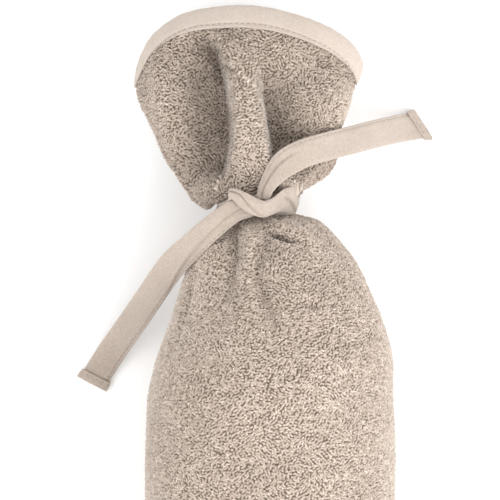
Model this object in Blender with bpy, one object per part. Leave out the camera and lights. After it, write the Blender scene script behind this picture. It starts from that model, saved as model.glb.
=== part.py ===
"""Towelling warmth pouch, tied shut at its neck, with the round steel hot-water bottle that fills it.

The pouch lies on its back. +Y points along it to its mouth, +X to its right and +Z up.
The origin is on the resting surface, under the middle of the pouch and its contents.
Lengths in the tables are in millimetres and are scaled by MM, because everything else is in metres.
"""
import bmesh
import bpy
import numpy as np
from math import cos, pi, radians, sin, sqrt
from mathutils import Matrix, Vector

MM = 0.001
GAP = 0.3 * MM                      # clearance between pieces that touch
SEAM_GAP = 0.8 * MM                 # height of the stitched ridge between the two panels

# Pouch, lying on its back ----------------------------------------------------------------------
AXIS_X = 1.8 * MM                   # middle of the straight body
AXIS_Z = 51.5 * MM                  # height of the bottle's axis
POUCH_END_Y = -170.0 * MM
END_ROUNDING = 22.0 * MM
HALF_COLUMNS = 20                   # faces across one panel

# Along the body: y, left edge, right edge, height of the middle, wall
BODY_TABLE = np.array([
    (-148.0, -51.2, 54.8, 51.5, 4.0),
    (-40.0, -51.2, 54.8, 51.5, 4.0),
    (0.0, -51.0, 54.8, 51.5, 4.0),
    (15.0, -48.3, 54.7, 51.2, 4.0),
    (36.0, -40.4, 50.3, 50.5, 4.0),
    (53.0, -34.9, 42.3, 49.0, 4.2),
    (63.0, -31.0, 36.8, 48.0, 4.6),
    (70.0, -28.0, 30.8, 47.0, 5.0),
    (76.0, -25.0, 22.8, 45.8, 5.5),
    (79.0, -20.8, 13.6, 44.8, 6.5),
    (80.0, -19.1, 11.9, 44.5, 7.0),
    (90.0, -19.1, 11.9, 44.5, 7.0),
]) * MM
BODY_STOPS = (-140, -110, -75, -40, -10, 5, 18, 30, 42, 53, 62, 69, 74, 77, 80, 85, 90)

# Along the flared mouth: share of its length, y of its side edges, y of its middle, left edge,
# right edge, height of the middle, rise of the front, drop of the back, wall
MOUTH_TABLE = np.array([
    (0.00, 90.0, 90.0, -19.1, 11.9, 44.5, 15.5, 15.5, 7.0),
    (0.10, 89.6, 97.5, -29.0, 17.0, 44.2, 18.0, 18.0, 5.5),
    (0.20, 93.5, 105.5, -37.4, 23.4, 42.4, 21.0, 21.0, 4.4),
    (0.35, 103.4, 117.5, -44.2, 31.0, 38.4, 24.0, 24.0, 3.4),
    (0.55, 117.0, 133.5, -50.2, 33.6, 33.0, 26.0, 26.0, 2.8),
    (0.78, 130.6, 152.0, -53.4, 37.0, 29.0, 25.0, 25.0, 2.4),
    (1.00, 138.5, 168.5, -53.4, 40.0, 27.5, 22.0, 23.5, 2.4),
])
MOUTH_TABLE[:, 1:] *= MM
MOUTH_STOPS = (0.05, 0.1, 0.2, 0.32, 0.45, 0.6, 0.73, 1.0)
MOUTH_ROUNDNESS = 0.8               # under 1 squares the rim's outline
# Deep pleats of the mouth: angle round the pouch, half-width in radians, depth
MOUTH_PLEATS = ((2.02, 0.26, 5.0 * MM), (1.30, 0.24, 4.0 * MM), (4.2, 0.3, 4.0 * MM), (5.2, 0.3, 4.0 * MM))

# Cotton binding round the rim ------------------------------------------------------------------
BINDING_WIDTH = 9.0 * MM
BINDING_CLOTH = 0.9 * MM
BINDING_GAP = 0.7 * MM               # the pile keeps the folded strip off the panel

# Tie tape --------------------------------------------------------------------------------------
TAPE_WIDTH = 12.4 * MM
TAPE_THICKNESS = 1.6 * MM
NECK_X = -3.6 * MM
NECK_Z = 44.5 * MM
NECK_RADIUS = 15.5 * MM
LOOP_Y = (80.6 * MM, 89.0 * MM)
LOOP_THICKNESS = 1.8 * MM
LOOP_SEGMENTS = 32
KNOT_CENTRE = (0.0 * MM, 86.2 * MM)
KNOT_HALF_SIZE = (11.0 * MM, 6.4 * MM, 7.6 * MM)
LEFT_ROUTE = np.array([
    (-12.2, 82.2, 68.6), (-23.0, 74.0, 71.4), (-32.0, 66.0, 66.4), (-40.5, 57.8, 55.0),
    (-48.5, 46.5, 38.0), (-54.5, 37.8, 25.0), (-62.0, 27.4, 11.5), (-68.0, 18.8, 4.0), (-74.0, 9.0, 1.0),
]) * MM
RIGHT_ROUTE = np.array([
    (5.0, 98.4, 63.4), (9.5, 102.6, 63.2), (16.5, 106.2, 60.4), (27.0, 109.4, 53.0),
    (38.0, 112.4, 40.5), (48.0, 115.2, 26.5), (57.0, 117.4, 13.0), (63.0, 118.6, 5.0), (68.5, 119.6, 1.0),
]) * MM
TAPE_STEP = 4.0 * MM                # distance between a tail's cross-sections

# Steel bottle and screw cap --------------------------------------------------------------------
LATHE_SEGMENTS = 32
BOTTLE_RADIUS = 46.8 * MM
STEEL = 0.8 * MM
BOTTLE_BASE_Y = -160.0 * MM
BASE_ROUNDING = 12.0 * MM
SHOULDER_Y = -4.0 * MM
SHOULDER_TOP_Y = 30.0 * MM
COLLAR_RADIUS = 17.0 * MM
COLLAR_BORE = 13.0 * MM
COLLAR_TOP_Y = 47.0 * MM
FLANGE_RADIUS = 21.0 * MM
FLANGE_THICKNESS = 1.6 * MM
CAP_RADIUS = 20.5 * MM
CAP_SHEET = 0.8 * MM
INSERT_WALL = 2.2 * MM
THREAD_CLEARANCE = 0.35 * MM
GASKET_THICKNESS = 2.0 * MM


def table_at(table, where):
    """Read a table's columns at one value of its first column, on a curve that never overshoots."""
    x = table[:, 0]
    y = table[:, 1:]
    i = int(np.clip(np.searchsorted(x, where) - 1, 0, len(x) - 2))
    step = np.diff(x)[:, None]
    slope = np.diff(y, axis=0) / step
    bend = slope[:-1] * slope[1:]
    inner = np.where(bend > 0, 2.0 * bend / np.where(bend > 0, slope[:-1] + slope[1:], 1.0), 0.0)
    rate = np.vstack([slope[:1], inner, slope[-1:]])
    h = x[i + 1] - x[i]
    t = np.clip((where - x[i]) / h, 0.0, 1.0)
    return (
        (1 + 2 * t) * (1 - t) ** 2 * y[i]
        + t * (1 - t) ** 2 * h * rate[i]
        + t * t * (3 - 2 * t) * y[i + 1]
        + t * t * (t - 1) * h * rate[i + 1]
    )


def smooth_route(points, step):
    """Points a step apart on a smooth curve through a route's own points."""
    ends = np.vstack([2 * points[0] - points[1], points, 2 * points[-1] - points[-2]])
    fine = []
    for i in range(1, len(ends) - 2):
        a, b, c, d = ends[i - 1:i + 3]
        for t in np.arange(0.0, 1.0, 0.05):
            fine.append(0.5 * (2 * b + (c - a) * t + (2 * a - 5 * b + 4 * c - d) * t ** 2
                               + (3 * b - a - 3 * c + d) * t ** 3))
    fine.append(points[-1])
    fine = np.array(fine)
    along = np.concatenate([[0.0], np.cumsum(np.linalg.norm(np.diff(fine, axis=0), axis=1))])
    count = int(round(along[-1] / step))
    stops = np.linspace(0.0, along[-1], count + 1)
    return np.column_stack([np.interp(stops, along, fine[:, k]) for k in range(3)])


# Building blocks -------------------------------------------------------------------------------
def material(name, colour, roughness, metallic=0.0):
    made = bpy.data.materials.new(name)
    made.use_nodes = True
    shader = made.node_tree.nodes["Principled BSDF"]
    shader.inputs["Base Color"].default_value = (*colour, 1.0)
    shader.inputs["Roughness"].default_value = roughness
    shader.inputs["Metallic"].default_value = metallic
    made.diffuse_color = (*colour, 1.0)
    return made


def add_object(name, mesh, surface, origin=(0.0, 0.0, 0.0), smooth=True):
    """Link a mesh given in world metres as an object whose origin is where its joint or centre is."""
    mesh.transform(Matrix.Translation(-Vector(origin)))
    mesh.materials.append(surface)
    if smooth:
        mesh.shade_smooth()
        mesh.set_sharp_from_angle(angle=radians(40))
    made = bpy.data.objects.new(name, mesh)
    made.location = origin
    bpy.context.collection.objects.link(made)
    return made


def mesh_from_grid(name, grid, wrap_rows):
    """A closed skin from a grid of points whose columns always wrap; rows wrap or are capped."""
    rows, columns = grid.shape[:2]
    shape = bmesh.new()
    verts = [[shape.verts.new(point) for point in row] for row in grid]
    for i in range(rows if wrap_rows else rows - 1):
        for j in range(columns):
            a, b = verts[i][j], verts[i][(j + 1) % columns]
            c, d = verts[(i + 1) % rows][(j + 1) % columns], verts[(i + 1) % rows][j]
            shape.faces.new((a, b, c, d))
    if not wrap_rows:
        shape.faces.new(verts[0][::-1])
        shape.faces.new(verts[-1])
    bmesh.ops.recalc_face_normals(shape, faces=shape.faces)
    mesh = bpy.data.meshes.new(name)
    shape.to_mesh(mesh)
    shape.free()
    return mesh


def turned(name, profile, surface, on_axis=False):
    """Turn a closed (radius, y) profile about the bottle's axis with a Screw modifier."""
    mesh = bpy.data.meshes.new(name)
    edges = [(i, i + 1) for i in range(len(profile) - 1)]
    if not on_axis:
        edges.append((len(profile) - 1, 0))
    mesh.from_pydata([(radius, 0.0, height) for radius, height in profile], edges, [])
    made = add_object(name, mesh, surface, smooth=False)
    made.location = (AXIS_X, 0.0, AXIS_Z)
    made.rotation_euler = (radians(-90), 0.0, 0.0)
    screw = made.modifiers.new("Turned", "SCREW")
    screw.axis = "Z"
    screw.steps = LATHE_SEGMENTS
    screw.render_steps = LATHE_SEGMENTS
    screw.use_merge_vertices = True
    screw.merge_threshold = 0.00001
    screw.use_smooth_shade = True
    return made


# Pouch -----------------------------------------------------------------------------------------
def end_scale(y):
    """How far the rounded closed end draws the body in at a place along it."""
    depth = y - POUCH_END_Y
    if depth >= END_ROUNDING:
        return 0.0
    return END_ROUNDING - sqrt(max(END_ROUNDING ** 2 - (END_ROUNDING - depth) ** 2, 0.0))


def body_row(y, angles, close=1.0):
    left, right, middle_z, wall = table_at(BODY_TABLE, y)
    half = (right - left) / 2 - end_scale(y)
    points = np.zeros((len(angles), 3))
    points[:, 0] = (left + right) / 2 + half * np.cos(angles)
    points[:, 1] = y
    points[:, 2] = np.maximum(middle_z + close * half * np.sin(angles), 0.0)
    return points, middle_z, wall


def mouth_row(share, angles):
    side_y, middle_y, left, right, middle_z, rise, drop, wall = table_at(MOUTH_TABLE, share)
    across = np.cos(angles)
    bulge = np.abs(np.sin(angles)) ** MOUTH_ROUNDNESS
    front = np.sin(angles) > 0
    points = np.zeros((len(angles), 3))
    points[:, 0] = (left + right) / 2 + (right - left) / 2 * across
    points[:, 1] = side_y + (middle_y - side_y) * bulge
    points[:, 2] = middle_z + np.where(front, rise, drop) * np.sin(angles)
    for centre, width, depth in MOUTH_PLEATS:
        dent = depth * sin(pi * min(share, 0.8)) * np.exp(-((angles - centre) / width) ** 2)
        points[:, 2] -= np.where(front, dent, -dent)
    return points, middle_z, wall


def pouch_skin():
    """The pouch's outer and inner skins as grids, and the height of its side seams at each row."""
    angles = 2 * pi * np.arange(2 * HALF_COLUMNS) / (2 * HALF_COLUMNS)
    rows = [body_row(POUCH_END_Y, angles, close) for close in (0.0, 0.33, 0.66, 1.0)]
    for turn in (22.5, 45, 67.5, 90):
        depth = END_ROUNDING * (1 - cos(radians(turn)))
        rows.append(body_row(POUCH_END_Y + depth, angles))
    rows += [body_row(y * MM, angles) for y in BODY_STOPS]
    rows += [mouth_row(share, angles) for share in MOUTH_STOPS]
    outer = np.array([row[0] for row in rows])
    seam_z = np.array([row[1] for row in rows])
    wall = np.array([row[2] for row in rows])
    along = np.gradient(outer, axis=0)
    around = np.roll(outer, -1, axis=1) - np.roll(outer, 1, axis=1)
    normal = np.cross(along, around)
    normal[:4] = (0.0, -1.0, 0.0)
    normal /= np.linalg.norm(normal, axis=2)[:, :, None]
    inner = outer - normal * wall[:, None, None]
    body_rows = len(rows) - len(MOUTH_STOPS)
    floor = np.where(outer[:body_rows, :, 2] < 1e-9, wall[:body_rows, None], 0.0)
    inner[:body_rows, :, 2] = np.where(floor > 0, floor, inner[:body_rows, :, 2])
    return outer, inner, seam_z


def panel(name, outer, inner, seam_z, side, surface):
    """One towelling panel: the skins of one half, closed along its seams and its rim."""
    edge = seam_z + side * SEAM_GAP / 2
    skins = []
    for skin in (outer, inner):
        half = skin.copy()
        limit = np.maximum if side > 0 else np.minimum
        half[:, :, 2] = limit(half[:, :, 2], edge[:, None])
        half[:, 0, 2] = edge
        half[:, -1, 2] = edge
        skins.append(half)
    ring = np.concatenate([skins[0], skins[1][:, ::-1]], axis=1)
    mesh = mesh_from_grid(name, ring, wrap_rows=False)
    return add_object(name, mesh, surface)


def mouth_binding(outer, inner, surface):
    """The folded cotton strip that wraps the rim, as a U-shaped section carried round it."""
    length = np.linalg.norm(outer[-1] - outer[-2], axis=1)[:, None]
    down = BINDING_WIDTH / length
    skins = []
    for skin in (outer, inner):
        skins.append((skin[-1], skin[-1] + (skin[-2] - skin[-1]) * down))
    thickness = [a - b for a, b in zip(*skins)]
    across = [step / np.linalg.norm(step, axis=1)[:, None] for step in thickness]
    onward = (outer[-1] - outer[-2]) / length
    (outer_rim, outer_low), (inner_rim, inner_low) = skins
    near, far = BINDING_GAP, BINDING_GAP + BINDING_CLOTH
    grid = np.stack([
        outer_low + across[1] * far, outer_rim + across[0] * far + onward * far,
        inner_rim - across[0] * far + onward * far, inner_low - across[1] * far,
        inner_low - across[1] * near, inner_rim - across[0] * near + onward * near,
        outer_rim + across[0] * near + onward * near, outer_low + across[1] * near,
    ])
    return add_object("mouth_binding", mesh_from_grid("mouth_binding", grid, wrap_rows=True), surface)


# Tie -------------------------------------------------------------------------------------------
def ribbon_grid(route):
    """Cross-sections of a flat tape whose width stays level along its route."""
    along = np.gradient(route, axis=0)
    across = np.column_stack([along[:, 1], -along[:, 0], np.zeros(len(route))])
    across /= np.linalg.norm(across, axis=1)[:, None]
    up = np.cross(across, along)
    up /= np.linalg.norm(up, axis=1)[:, None]
    half_w, half_t = TAPE_WIDTH / 2, TAPE_THICKNESS / 2
    corners = ((half_w, half_t), (-half_w, half_t), (-half_w, -half_t), (half_w, -half_t))
    return np.stack([route + across * w + up * t for w, t in corners], axis=1)


def tail(name, points, surface):
    route = smooth_route(points, TAPE_STEP)
    grid = ribbon_grid(route)
    pivot = (grid[0, 0] + grid[0, 1]) / 2
    return add_object(name, mesh_from_grid(name, grid, wrap_rows=False), surface, origin=pivot)


def neck_loop(surface):
    """The turns of tape round the neck, as one band."""
    inside = NECK_RADIUS + GAP
    outside = inside + LOOP_THICKNESS
    low, high = LOOP_Y
    section = ((inside, low), (outside, low), (outside, high), (inside, high))
    angles = 2 * pi * np.arange(LOOP_SEGMENTS) / LOOP_SEGMENTS
    grid = np.array([[(NECK_X + r * cos(a), y, NECK_Z + r * sin(a)) for a in angles] for r, y in section])
    return add_object("tie_neck_loop", mesh_from_grid("tie_neck_loop", grid, wrap_rows=True), surface)


def knot(surface):
    """The half knot on top of the neck: a rounded lump with a flat underside."""
    base = NECK_Z + NECK_RADIUS + 2 * GAP + LOOP_THICKNESS
    shape = bmesh.new()
    bmesh.ops.create_uvsphere(shape, u_segments=20, v_segments=12, radius=1.0)
    cut = bmesh.ops.bisect_plane(shape, geom=shape.verts[:] + shape.edges[:] + shape.faces[:],
                                 plane_co=(0, 0, 0), plane_no=(0, 0, -1), clear_outer=True, dist=1e-6)
    rim = [item for item in cut["geom_cut"] if isinstance(item, bmesh.types.BMEdge)]
    bmesh.ops.contextual_create(shape, geom=rim)
    bmesh.ops.scale(shape, vec=KNOT_HALF_SIZE, verts=shape.verts)
    bmesh.ops.translate(shape, vec=(*KNOT_CENTRE, base), verts=shape.verts)
    bmesh.ops.recalc_face_normals(shape, faces=shape.faces)
    mesh = bpy.data.meshes.new("tie_knot")
    shape.to_mesh(mesh)
    shape.free()
    return add_object("tie_knot", mesh, surface)


# Bottle ----------------------------------------------------------------------------------------
def arc(centre, radius, start, stop, count):
    """Points of an arc in (radius, y) space, angles in degrees from +radius towards +y."""
    angles = np.radians(np.linspace(start, stop, count))
    return [(centre[0] + radius * cos(a), centre[1] + radius * sin(a)) for a in angles]


def shoulder(offset, count):
    """The bottle's domed shoulder from the collar hole out to the body, moved inward by an offset."""
    inner_r = COLLAR_RADIUS - 2 * MM
    reach = BOTTLE_RADIUS - offset - inner_r
    rise = SHOULDER_TOP_Y - SHOULDER_Y - offset
    return [(inner_r + reach * cos(a), SHOULDER_Y + rise * sin(a)) for a in np.linspace(pi / 2, 0, count)]


def bottle_body(surface):
    seam_y = BOTTLE_BASE_Y + BASE_ROUNDING
    outer = shoulder(0.0, 8) + [(BOTTLE_RADIUS, seam_y)]
    inner = shoulder(STEEL, 8) + [(BOTTLE_RADIUS - STEEL, seam_y)]
    return turned("bottle_body", outer + inner[::-1], surface)


def bottle_base(surface):
    """The pressed base: a rounded corner, a standing rim and a raised middle."""
    top = BOTTLE_BASE_Y + BASE_ROUNDING - GAP
    centre = (BOTTLE_RADIUS - BASE_ROUNDING, BOTTLE_BASE_Y + BASE_ROUNDING)
    raised = 4.0 * MM
    outer = [(BOTTLE_RADIUS, top)] + arc(centre, BASE_ROUNDING, -22.5, -90, 4)
    outer += [(centre[0] - 6 * MM, BOTTLE_BASE_Y + raised), (0.0, BOTTLE_BASE_Y + raised)]
    inner = [(0.0, BOTTLE_BASE_Y + raised + STEEL), (centre[0] - 6 * MM, BOTTLE_BASE_Y + raised + STEEL)]
    inner += arc(centre, BASE_ROUNDING - STEEL, -90, -22.5, 4) + [(BOTTLE_RADIUS - STEEL, top)]
    return turned("bottle_base", inner + outer, surface, on_axis=True)


def neck_collar(surface):
    """The threaded collar brazed into the shoulder, with its flange over the hole's edge."""
    hole = COLLAR_RADIUS - 2 * MM
    seat = SHOULDER_TOP_Y + GAP
    below = SHOULDER_TOP_Y - 5 * MM
    profile = [(COLLAR_RADIUS, COLLAR_TOP_Y), (COLLAR_RADIUS, seat + FLANGE_THICKNESS),
               (FLANGE_RADIUS - 2.5 * MM, seat + FLANGE_THICKNESS), (FLANGE_RADIUS - 2.5 * MM, seat),
               (hole - GAP, seat), (hole - GAP, below), (COLLAR_BORE, below), (COLLAR_BORE, COLLAR_TOP_Y)]
    return turned("bottle_neck_collar", profile, surface)


def screw_cap(surface_shell, surface_insert, surface_gasket):
    """The cap's pressed shell, its threaded insert and the rubber washer that seals on the collar."""
    seat = COLLAR_TOP_Y + GAP
    insert_top = seat + GASKET_THICKNESS + GAP + INSERT_WALL
    insert_in = COLLAR_RADIUS + THREAD_CLEARANCE
    insert_out = insert_in + INSERT_WALL
    low = SHOULDER_TOP_Y + FLANGE_THICKNESS + 3 * GAP
    insert = [(0.0, insert_top), (insert_out, insert_top), (insert_out, low), (insert_in, low),
              (insert_in, insert_top - INSERT_WALL), (0.0, insert_top - INSERT_WALL)]
    shell_in = insert_out + GAP
    top = insert_top + GAP
    edge = 2.0 * MM
    shell = [(0.0, top + CAP_SHEET), (shell_in + CAP_SHEET - edge, top + CAP_SHEET),
             (shell_in + CAP_SHEET, top + CAP_SHEET - edge), (shell_in + CAP_SHEET, low),
             (shell_in, low), (shell_in, top), (0.0, top)]
    washer = [(COLLAR_RADIUS, seat + GASKET_THICKNESS), (COLLAR_RADIUS, seat),
              (COLLAR_BORE, seat), (COLLAR_BORE, seat + GASKET_THICKNESS)]
    turned("cap_threaded_insert", insert, surface_insert, on_axis=True)
    turned("cap_shell", shell, surface_shell, on_axis=True)
    turned("cap_gasket", washer, surface_gasket)


def main():
    for old in list(bpy.data.objects):
        bpy.data.objects.remove(old, do_unlink=True)
    towelling = material("towelling", (0.62, 0.52, 0.44), 0.95)
    cotton = material("cotton", (0.76, 0.67, 0.6), 0.85)
    steel = material("steel", (0.62, 0.62, 0.62), 0.3, 1.0)
    insert = material("cap_plastic", (0.08, 0.08, 0.09), 0.5)
    rubber = material("rubber", (0.5, 0.12, 0.08), 0.8)
    outer, inner, seam_z = pouch_skin()
    front = slice(0, HALF_COLUMNS + 1)
    back = [*range(HALF_COLUMNS, 2 * HALF_COLUMNS), 0]
    panel("pouch_front_panel", outer[:, front], inner[:, front], seam_z, 1, towelling)
    panel("pouch_back_panel", outer[:, back], inner[:, back], seam_z, -1, towelling)
    mouth_binding(outer, inner, cotton)
    neck_loop(cotton)
    knot(cotton)
    tail("tie_left_tail", LEFT_ROUTE, cotton)
    tail("tie_right_tail", RIGHT_ROUTE, cotton)
    bottle_body(steel)
    bottle_base(steel)
    neck_collar(steel)
    screw_cap(steel, insert, rubber)


main()
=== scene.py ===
"""Looks of the tied towelling pouch and its steel bottle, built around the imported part.

Everything is in metres in the part's frame: the pouch lies on its back, +Y points to its mouth,
+X to its right and +Z up. Tables are in millimetres and scaled by MM.
"""
from math import cos, pi, sin

import bpy
import numpy as np
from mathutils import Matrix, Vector
from mathutils.kdtree import KDTree


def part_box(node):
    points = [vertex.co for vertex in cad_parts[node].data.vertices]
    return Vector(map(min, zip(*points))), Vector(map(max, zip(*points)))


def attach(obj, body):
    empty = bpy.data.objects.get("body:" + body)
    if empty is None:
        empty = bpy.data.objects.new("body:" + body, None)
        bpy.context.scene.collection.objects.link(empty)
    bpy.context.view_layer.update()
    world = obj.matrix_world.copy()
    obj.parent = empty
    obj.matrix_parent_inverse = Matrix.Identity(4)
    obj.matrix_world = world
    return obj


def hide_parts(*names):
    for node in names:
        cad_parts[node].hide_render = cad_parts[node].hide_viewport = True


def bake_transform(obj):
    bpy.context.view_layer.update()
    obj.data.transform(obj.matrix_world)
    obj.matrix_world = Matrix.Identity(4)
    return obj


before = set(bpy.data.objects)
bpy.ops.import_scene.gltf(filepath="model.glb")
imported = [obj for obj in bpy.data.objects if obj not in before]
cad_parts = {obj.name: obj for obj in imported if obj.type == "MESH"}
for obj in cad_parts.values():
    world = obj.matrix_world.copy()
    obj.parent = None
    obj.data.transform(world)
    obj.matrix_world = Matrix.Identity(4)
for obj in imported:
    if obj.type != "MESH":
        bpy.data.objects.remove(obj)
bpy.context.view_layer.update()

MM = 0.001

# Places taken from the frame ---------------------------------------------------------------------
END_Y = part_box("pouch_front_panel")[0].y
LOOP_LOW, LOOP_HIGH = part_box("tie_neck_loop")
NECK_X = (LOOP_LOW.x + LOOP_HIGH.x) / 2
NECK_Z = (LOOP_LOW.z + LOOP_HIGH.z) / 2
NECK_Y = (LOOP_LOW.y + LOOP_HIGH.y) / 2

# Pouch: the outline that the part's panels have --------------------------------------------------
END_ROUNDING = 22 * MM
STRAIGHT_START = END_Y + END_ROUNDING
MOUTH_START = 90 * MM
# Along the body: y, left edge, right edge, height of the middle
BODY_TABLE = np.array([
    (-148.0, -51.2, 54.8, 51.5), (-40.0, -51.2, 54.8, 51.5), (0.0, -51.0, 54.8, 51.5),
    (15.0, -48.3, 54.7, 51.2), (36.0, -40.4, 50.3, 50.5), (53.0, -34.9, 42.3, 49.0),
    (63.0, -31.0, 36.8, 48.0), (70.0, -28.0, 30.8, 47.0), (76.0, -25.0, 22.8, 45.8),
    (79.0, -20.8, 13.6, 44.8), (80.0, -19.1, 11.9, 44.5), (90.0, -19.1, 11.9, 44.5),
]) * MM
# Along the mouth: share of its length, y of its left side, of its right side and of its middle,
# left edge, right edge, height of the middle, rise of the front, drop of the back
MOUTH_TABLE = np.array([
    (0.00, 90.0, 90.0, 90.0, -19.1, 11.9, 44.5, 15.5, 15.5),
    (0.05, 84.4, 88.2, 89.8, -24.6, 13.0, 44.4, 17.4, 16.6),
    (0.10, 87.8, 90.2, 94.6, -30.2, 18.0, 44.0, 19.4, 18.2),
    (0.20, 95.6, 94.2, 105.5, -37.2, 25.0, 42.4, 21.0, 21.0),
    (0.35, 104.8, 103.2, 117.5, -44.0, 30.6, 38.4, 24.0, 24.0),
    (0.55, 118.0, 117.6, 133.5, -49.6, 32.6, 33.0, 26.0, 26.0),
    (0.78, 129.4, 131.4, 151.5, -54.6, 36.8, 29.0, 25.0, 25.0),
    (1.00, 137.6, 143.4, 168.0, -56.2, 43.2, 27.5, 22.0, 23.5),
])
MOUTH_TABLE[:, 1:] *= MM
MOUTH_ROUNDNESS = 0.84
MOUTH_SOFTNESS = 0.015                # rounds the rim where the two panels meet
MOUTH_TILT = 1.6 * MM                 # the rim is higher on its left
MOUTH_SKEW = 2.6 * MM                 # and its highest point lies left of its middle
NECK_SLANT = 0.12                     # the gathers lie aslant at the tie, lower on the left
NECK_SLANT_REACH = 17 * MM            # and are level again beyond this distance to each side
WALL = 3.4 * MM                       # from the pile's roots outside to the pile's roots inside
PILE_ROOM = 1.0 * MM                  # the pile's roots lie this far inside the panels' outline

# Creases: half-width on the +X side and on the -X side of a line that runs towards -Y, then its
# points x, y, depth. A negative depth is a swelling.
FRONT_CREASES = (
    (3.4, 15.0, ((-29, 156, 1), (-22.5, 150, 6), (-19, 138, 11), (-17.5, 125, 12),
                 (-17.5, 113, 10.5), (-19, 103, 7.0), (-20, 97, 2.5), (-21, 92, 0))),
    (2.4, 4.0, ((-34, 155, 1), (-27, 154.5, 2.5), (-22, 149, 4), (-19, 141, 2))),
    (3.0, 3.6, ((-37, 125, 0.5), (-31, 115, 2.8), (-26, 106, 3.2), (-22, 99, 3))),
    (9.0, 7.0, ((-14, 160, -0.5), (-10, 145, -2), (-9, 125, -2.5), (-8, 108, -2.5), (-6, 99, -1.5))),
    (12.0, 2.6, ((-3, 143, 0.5), (0, 132, 6), (2.5, 122, 9.5), (4, 112, 9.5), (5, 104, 7), (5, 96, 3.5))),
    (6.0, 7.0, ((2, 131, 1), (15, 138, 2.4), (29, 145, 0.5))),
    (8.0, 8.0, ((31, 116, -2), (32, 127, -3.5), (31, 140, -1.5))),
    (5.0, 6.0, ((-47, 140, -1.5), (-43, 120, -2), (-37, 108, -1.5))),
    (3.6, 4.0, ((-12.5, 78, 1.5), (-14.1, 73, 3.4), (-13.3, 63.2, 3.4), (-15.8, 52.6, 2.2), (-18.4, 42, 0))),
    (3.4, 3.0, ((0.4, 73, 1.5), (-1.4, 66, 2.8), (-4.6, 58, 3.2), (-1.4, 47.5, 3.0),
                (2.8, 39, 2.2), (6.2, 31, 0))),
    (1.5, 1.2, ((1.5, 74.2, 1), (5, 72.4, 6.5), (9.5, 70.2, 7), (13, 69, 1.5))),
    (3.0, 3.0, ((9, 76, -1.5), (14, 73, -2.2), (20, 68, -1.6), (25, 60, -0.6))),
    (2.0, 2.0, ((13, 43.5, 0.4), (19, 42.6, 1.1), (25, 43.2, 0.3))),
    (1.5, 1.5, ((-28.5, 57, 1.2), (-31.5, 49, 1.7), (-35, 37, 1.7), (-37, 29, 1.3), (-39.6, 20, 0.4))),
    (5.0, 5.0, ((-22, 76, -1), (-23, 66, -2), (-25, 55, -1.5), (-27, 42, -0.5))),
    (4.0, 4.0, ((-5, 70, -1.5), (-6, 58, -2), (-7, 46, -1))),
)

# Tie: routes close to those of the part's tails ---------------------------------------------------
TAPE_WIDTH = 12.0 * MM
TAPE_THICKNESS = 1.5 * MM
LEFT_ROUTE = np.array([
    (-6.6, 84.0, 67.4), (-13.6, 81.4, 69.0), (-22.4, 74.8, 71.4), (-31.0, 67.0, 66.4), (-39.8, 58.4, 55.0),
    (-48.2, 46.8, 38.0), (-54.5, 37.8, 25.0), (-62.0, 27.4, 11.5), (-68.0, 18.8, 4.0), (-75.0, 7.4, 1.0),
]) * MM
RIGHT_ROUTE = np.array([
    (-1.2, 86.5, 67.0), (0.6, 92.0, 66.2), (5.0, 98.4, 63.8), (9.5, 102.6, 63.2), (16.5, 106.2, 60.4),
    (27.0, 109.4, 53.0), (38.0, 112.4, 40.5), (48.0, 115.2, 26.5), (57.0, 117.4, 13.0),
    (63.0, 118.6, 5.0), (68.5, 119.6, 1.0),
]) * MM

# Detail ------------------------------------------------------------------------------------------
COARSE = 1.0
FINE_STEP = 0.34 * MM * COARSE        # between the points of the pile that faces up
BROAD_STEP = 0.45 * MM * COARSE       # and of the rest
SEED = 11


# Numbers -----------------------------------------------------------------------------------------
def table_at(table, where):
    """Read a table's columns at values of its first column, on curves that never overshoot."""
    x, y = table[:, 0], table[:, 1:]
    i = np.clip(np.searchsorted(x, where) - 1, 0, len(x) - 2)
    step = np.diff(x)[:, None]
    slope = np.diff(y, axis=0) / step
    bend = slope[:-1] * slope[1:]
    inner = np.where(bend > 0, 2 * bend / np.where(bend > 0, slope[:-1] + slope[1:], 1.0), 0.0)
    rate = np.vstack([slope[:1], inner, slope[-1:]])
    h = step[i]
    t = np.clip((where[:, None] - x[i][:, None]) / h, 0, 1)
    return ((1 + 2 * t) * (1 - t) ** 2 * y[i] + t * (1 - t) ** 2 * h * rate[i]
            + t * t * (3 - 2 * t) * y[i + 1] + t * t * (t - 1) * h * rate[i + 1])


def smoothstep(low, high, value):
    t = np.clip((value - low) / (high - low), 0, 1)
    return t * t * (3 - 2 * t)


def unit(vectors):
    length = np.linalg.norm(vectors, axis=-1, keepdims=True)
    return vectors / np.where(length > 1e-12, length, 1.0)


def ripples(points, wavelength, seed):
    """A smooth random field, mostly between -1 and 1."""
    rng = np.random.default_rng(seed)
    total = np.zeros(points.shape[:-1])
    for _ in range(7):
        direction = rng.normal(size=3)
        direction *= 2 * pi / wavelength * rng.uniform(0.6, 1.4) / np.linalg.norm(direction)
        total += np.sin(points @ direction + rng.uniform(0, 2 * pi))
    return total / 2.6


def distances(points):
    """How far along a line each of its points lies."""
    return np.concatenate([[0.0], np.cumsum(np.linalg.norm(np.diff(points, axis=0), axis=1))])


def points_at(stops, along, points):
    """Points or vectors between those of a line, given how far along the line each of them is."""
    return np.column_stack([np.interp(stops, along, points[:, k]) for k in range(3)])


def smooth_route(points, step):
    """Points a step apart on a smooth curve through a route's own points."""
    ends = np.vstack([2 * points[0] - points[1], points, 2 * points[-1] - points[-2]])
    fine = []
    for i in range(1, len(ends) - 2):
        a, b, c, d = ends[i - 1:i + 3]
        for t in np.arange(0.0, 1.0, 0.05):
            fine.append(0.5 * (2 * b + (c - a) * t + (2 * a - 5 * b + 4 * c - d) * t ** 2
                               + (3 * b - a - 3 * c + d) * t ** 3))
    fine = np.array(fine + [points[-1]])
    along = distances(fine)
    stops = np.linspace(0.0, along[-1], int(round(along[-1] / step)) + 1)
    return points_at(stops, along, fine)


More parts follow.
